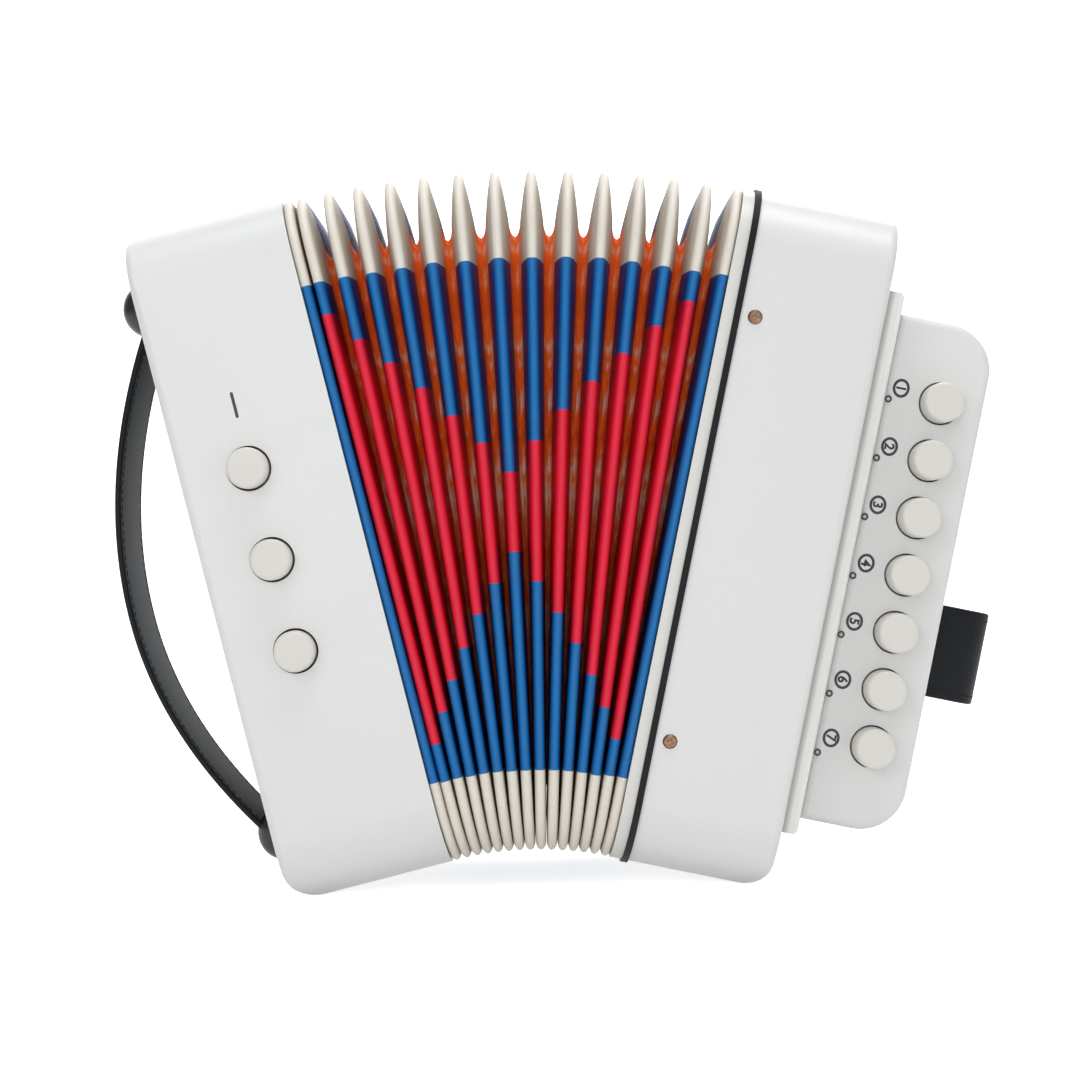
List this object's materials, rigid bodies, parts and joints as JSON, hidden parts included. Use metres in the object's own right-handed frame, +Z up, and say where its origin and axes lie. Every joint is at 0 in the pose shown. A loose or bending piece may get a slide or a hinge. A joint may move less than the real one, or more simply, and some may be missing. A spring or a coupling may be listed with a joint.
{
  "type": "toy button accordion",
  "caption": "Small toy button accordion standing with its fan-folded bellows open, with treble fingerboard, bass buttons, hand strap and thumb loop.",
  "frame": {"origin": "middle of the bounding box, on the surface that the accordion stands on", "axes": "X from the bass side to the treble side, the front with the buttons faces -Y, Z up"},
  "size_m": [0.279, 0.1062, 0.2215],
  "materials": {
    "cabinet_plastic": "smooth white moulding",
    "frame_plastic": "smooth white strip",
    "button_plastic": "smooth cream",
    "bellows_card": "folded card with glossy cloth tape in white, blue and red",
    "gasket_rubber": "black strip",
    "strap_leather": "black leatherette",
    "cap_plastic": "black dome",
    "board_wood": "plain plywood",
    "reed_brass": "rolled brass",
    "screw_brass": "cross-head",
    "lever_aluminium": "stamped",
    "spring_steel": "drawn wire",
    "inner_plastic": "moulded"
  },
  "bodies": {
    "treble_body": {"treble_cabinet": "cabinet_plastic", "treble_bellows_frame": "frame_plastic", "treble_gasket": "gasket_rubber", "treble_pallet_board": "board_wood", "treble_reed_plate": "reed_brass", "treble_reeds": "reed_brass", "treble_axle": "spring_steel", "treble_axle_brackets": "inner_plastic", "treble_springs": "spring_steel", "fingerboard_rail": "cabinet_plastic", "fingerboard": "cabinet_plastic", "fingerboard_cover": "cabinet_plastic", "cabinet_screws": "screw_brass", "cover_screws": "screw_brass", "thumb_strap": "strap_leather", "bellows_fold_15": "bellows_card"},
    "bass_body": {"bass_cabinet": "cabinet_plastic", "bass_bellows_frame": "frame_plastic", "bass_valve_board": "board_wood", "bass_reed_box": "inner_plastic", "bass_reed_plates": "reed_brass", "bass_reeds": "reed_brass", "air_valve_guide": "inner_plastic", "bass_springs": "spring_steel", "hand_strap": "strap_leather", "hand_strap_caps": "cap_plastic", "bellows_fold_01": "bellows_card"},
    "fold_02": {"bellows_fold_02": "bellows_card"},
    "fold_03": {"bellows_fold_03": "bellows_card"},
    "fold_04": {"bellows_fold_04": "bellows_card"},
    "fold_05": {"bellows_fold_05": "bellows_card"},
    "fold_06": {"bellows_fold_06": "bellows_card"},
    "fold_07": {"bellows_fold_07": "bellows_card"},
    "fold_08": {"bellows_fold_08": "bellows_card"},
    "fold_09": {"bellows_fold_09": "bellows_card"},
    "fold_10": {"bellows_fold_10": "bellows_card"},
    "fold_11": {"bellows_fold_11": "bellows_card"},
    "fold_12": {"bellows_fold_12": "bellows_card"},
    "fold_13": {"bellows_fold_13": "bellows_card"},
    "fold_14": {"bellows_fold_14": "bellows_card"},
    "treble_key_1": {"treble_button_1": "button_plastic", "treble_lever_1": "lever_aluminium"},
    "treble_key_2": {"treble_button_2": "button_plastic", "treble_lever_2": "lever_aluminium"},
    "treble_key_3": {"treble_button_3": "button_plastic", "treble_lever_3": "lever_aluminium"},
    "treble_key_4": {"treble_button_4": "button_plastic", "treble_lever_4": "lever_aluminium"},
    "treble_key_5": {"treble_button_5": "button_plastic", "treble_lever_5": "lever_aluminium"},
    "treble_key_6": {"treble_button_6": "button_plastic", "treble_lever_6": "lever_aluminium"},
    "treble_key_7": {"treble_button_7": "button_plastic", "treble_lever_7": "lever_aluminium"},
    "air_valve_key": {"air_valve_button": "button_plastic", "air_valve_plunger": "lever_aluminium"},
    "bass_1_key": {"bass_1_button": "button_plastic", "bass_1_plunger": "lever_aluminium"},
    "bass_2_key": {"bass_2_button": "button_plastic", "bass_2_plunger": "lever_aluminium"}
  },
  "joints": [
    {"name": "bellows_fan", "type": "hinge", "parent": "treble_body", "child": "bass_body", "pos_m": [-0.01118, 0.00235, 0.01243], "axis": [0, 1, 0], "range_deg": [0, 25.8], "deforming": ["bellows_fold_01", "bellows_fold_15"]},
    {"name": "fold_02_turn", "type": "hinge", "parent": "treble_body", "child": "fold_02", "pos_m": [-0.01076, 0.00235, 0.01241], "axis": [0, 1, 0], "range_deg": [-0.01, 25.59], "deforming": ["bellows_fold_02"]},
    {"name": "fold_03_turn", "type": "hinge", "parent": "treble_body", "child": "fold_03", "pos_m": [-0.00934, 0.00235, 0.01229], "axis": [0, 1, 0], "range_deg": [-0.01, 24.16], "deforming": ["bellows_fold_03"]},
    {"name": "fold_04_turn", "type": "hinge", "parent": "treble_body", "child": "fold_04", "pos_m": [-0.00774, 0.00235, 0.01215], "axis": [0, 1, 0], "range_deg": [-0.01, 22.51], "deforming": ["bellows_fold_04"]},
    {"name": "fold_05_turn", "type": "hinge", "parent": "treble_body", "child": "fold_05", "pos_m": [-0.00601, 0.00235, 0.01197], "axis": [0, 1, 0], "range_deg": [-0.01, 20.68], "deforming": ["bellows_fold_05"]},
    {"name": "fold_06_turn", "type": "hinge", "parent": "treble_body", "child": "fold_06", "pos_m": [-0.00418, 0.00235, 0.01176], "axis": [0, 1, 0], "range_deg": [-0.01, 18.7], "deforming": ["bellows_fold_06"]},
    {"name": "fold_07_turn", "type": "hinge", "parent": "treble_body", "child": "fold_07", "pos_m": [-0.00227, 0.00235, 0.01152], "axis": [0, 1, 0], "range_deg": [-0.01, 16.6], "deforming": ["bellows_fold_07"]},
    {"name": "fold_08_turn", "type": "hinge", "parent": "treble_body", "child": "fold_08", "pos_m": [-0.0003, 0.00235, 0.01125], "axis": [0, 1, 0], "range_deg": [-0.01, 14.43], "deforming": ["bellows_fold_08"]},
    {"name": "fold_09_turn", "type": "hinge", "parent": "treble_body", "child": "fold_09", "pos_m": [0.0017, 0.00235, 0.01094], "axis": [0, 1, 0], "range_deg": [-0.01, 12.21], "deforming": ["bellows_fold_09"]},
    {"name": "fold_10_turn", "type": "hinge", "parent": "treble_body", "child": "fold_10", "pos_m": [0.00372, 0.00235, 0.01061], "axis": [0, 1, 0], "range_deg": [-0.01, 9.99], "deforming": ["bellows_fold_10"]},
    {"name": "fold_11_turn", "type": "hinge", "parent": "treble_body", "child": "fold_11", "pos_m": [0.00573, 0.00235, 0.01026], "axis": [0, 1, 0], "range_deg": [-0.01, 7.79], "deforming": ["bellows_fold_11"]},
    {"name": "fold_12_turn", "type": "hinge", "parent": "treble_body", "child": "fold_12", "pos_m": [0.00773, 0.00235, 0.00989], "axis": [0, 1, 0], "range_deg": [-0.01, 5.66], "deforming": ["bellows_fold_12"]},
    {"name": "fold_13_turn", "type": "hinge", "parent": "treble_body", "child": "fold_13", "pos_m": [0.0097, 0.00235, 0.00949], "axis": [0, 1, 0], "range_deg": [-0.01, 3.63], "deforming": ["bellows_fold_13"]},
    {"name": "fold_14_turn", "type": "hinge", "parent": "treble_body", "child": "fold_14", "pos_m": [0.01172, 0.00235, 0.00906], "axis": [0, 1, 0], "range_deg": [-0.01, 1.74], "deforming": ["bellows_fold_14"]},
    {"name": "treble_key_1_press", "type": "hinge", "parent": "treble_body", "child": "treble_key_1", "pos_m": [0.06662, -0.02365, 0.15817], "axis": [0.2233, 0, 0.9748], "range_deg": [0, 4.75], "stiffness_Nm_per_rad": 0.12, "springref_deg": -5.73},
    {"name": "treble_key_2_press", "type": "hinge", "parent": "treble_body", "child": "treble_key_2", "pos_m": [0.06258, -0.02365, 0.14052], "axis": [0.2233, 0, 0.9748], "range_deg": [0, 4.75], "stiffness_Nm_per_rad": 0.12, "springref_deg": -5.73},
    {"name": "treble_key_3_press", "type": "hinge", "parent": "treble_body", "child": "treble_key_3", "pos_m": [0.05854, -0.02365, 0.12288], "axis": [0.2233, 0, 0.9748], "range_deg": [0, 4.75], "stiffness_Nm_per_rad": 0.12, "springref_deg": -5.73},
    {"name": "treble_key_4_press", "type": "hinge", "parent": "treble_body", "child": "treble_key_4", "pos_m": [0.0545, -0.02365, 0.10524], "axis": [0.2233, 0, 0.9748], "range_deg": [0, 4.75], "stiffness_Nm_per_rad": 0.12, "springref_deg": -5.73},
    {"name": "treble_key_5_press", "type": "hinge", "parent": "treble_body", "child": "treble_key_5", "pos_m": [0.05046, -0.02365, 0.08759], "axis": [0.2233, 0, 0.9748], "range_deg": [0, 4.75], "stiffness_Nm_per_rad": 0.12, "springref_deg": -5.73},
    {"name": "treble_key_6_press", "type": "hinge", "parent": "treble_body", "child": "treble_key_6", "pos_m": [0.04642, -0.02365, 0.06995], "axis": [0.2233, 0, 0.9748], "range_deg": [0, 4.75], "stiffness_Nm_per_rad": 0.12, "springref_deg": -5.73},
    {"name": "treble_key_7_press", "type": "hinge", "parent": "treble_body", "child": "treble_key_7", "pos_m": [0.04238, -0.02365, 0.05231], "axis": [0.2233, 0, 0.9748], "range_deg": [0, 4.75], "stiffness_Nm_per_rad": 0.12, "springref_deg": -5.73},
    {"name": "air_valve_press", "type": "slide", "parent": "bass_body", "child": "air_valve_key", "axis": [0, 1, 0], "range_m": [0, 0.0035], "stiffness_N_per_m": 150, "springref_m": -0.004, "deforming": ["bass_springs"]},
    {"name": "bass_1_press", "type": "slide", "parent": "bass_body", "child": "bass_1_key", "axis": [0, 1, 0], "range_m": [0, 0.0035], "stiffness_N_per_m": 150, "springref_m": -0.004, "deforming": ["bass_springs"]},
    {"name": "bass_2_press", "type": "slide", "parent": "bass_body", "child": "bass_2_key", "axis": [0, 1, 0], "range_m": [0, 0.0035], "stiffness_N_per_m": 150, "springref_m": -0.004, "deforming": ["bass_springs"]}
  ],
  "couplings": [
    {"joint": "fold_02_turn", "follows": "bellows_fan", "ratio": 0.99137},
    {"joint": "fold_03_turn", "follows": "bellows_fan", "ratio": 0.93609},
    {"joint": "fold_04_turn", "follows": "bellows_fan", "ratio": 0.87225},
    {"joint": "fold_05_turn", "follows": "bellows_fan", "ratio": 0.80124},
    {"joint": "fold_06_turn", "follows": "bellows_fan", "ratio": 0.72443},
    {"joint": "fold_07_turn", "follows": "bellows_fan", "ratio": 0.6432},
    {"joint": "fold_08_turn", "follows": "bellows_fan", "ratio": 0.55893},
    {"joint": "fold_09_turn", "follows": "bellows_fan", "ratio": 0.47302},
    {"joint": "fold_10_turn", "follows": "bellows_fan", "ratio": 0.38682},
    {"joint": "fold_11_turn", "follows": "bellows_fan", "ratio": 0.30173},
    {"joint": "fold_12_turn", "follows": "bellows_fan", "ratio": 0.21912},
    {"joint": "fold_13_turn", "follows": "bellows_fan", "ratio": 0.14037},
    {"joint": "fold_14_turn", "follows": "bellows_fan", "ratio": 0.066875}
  ]
}
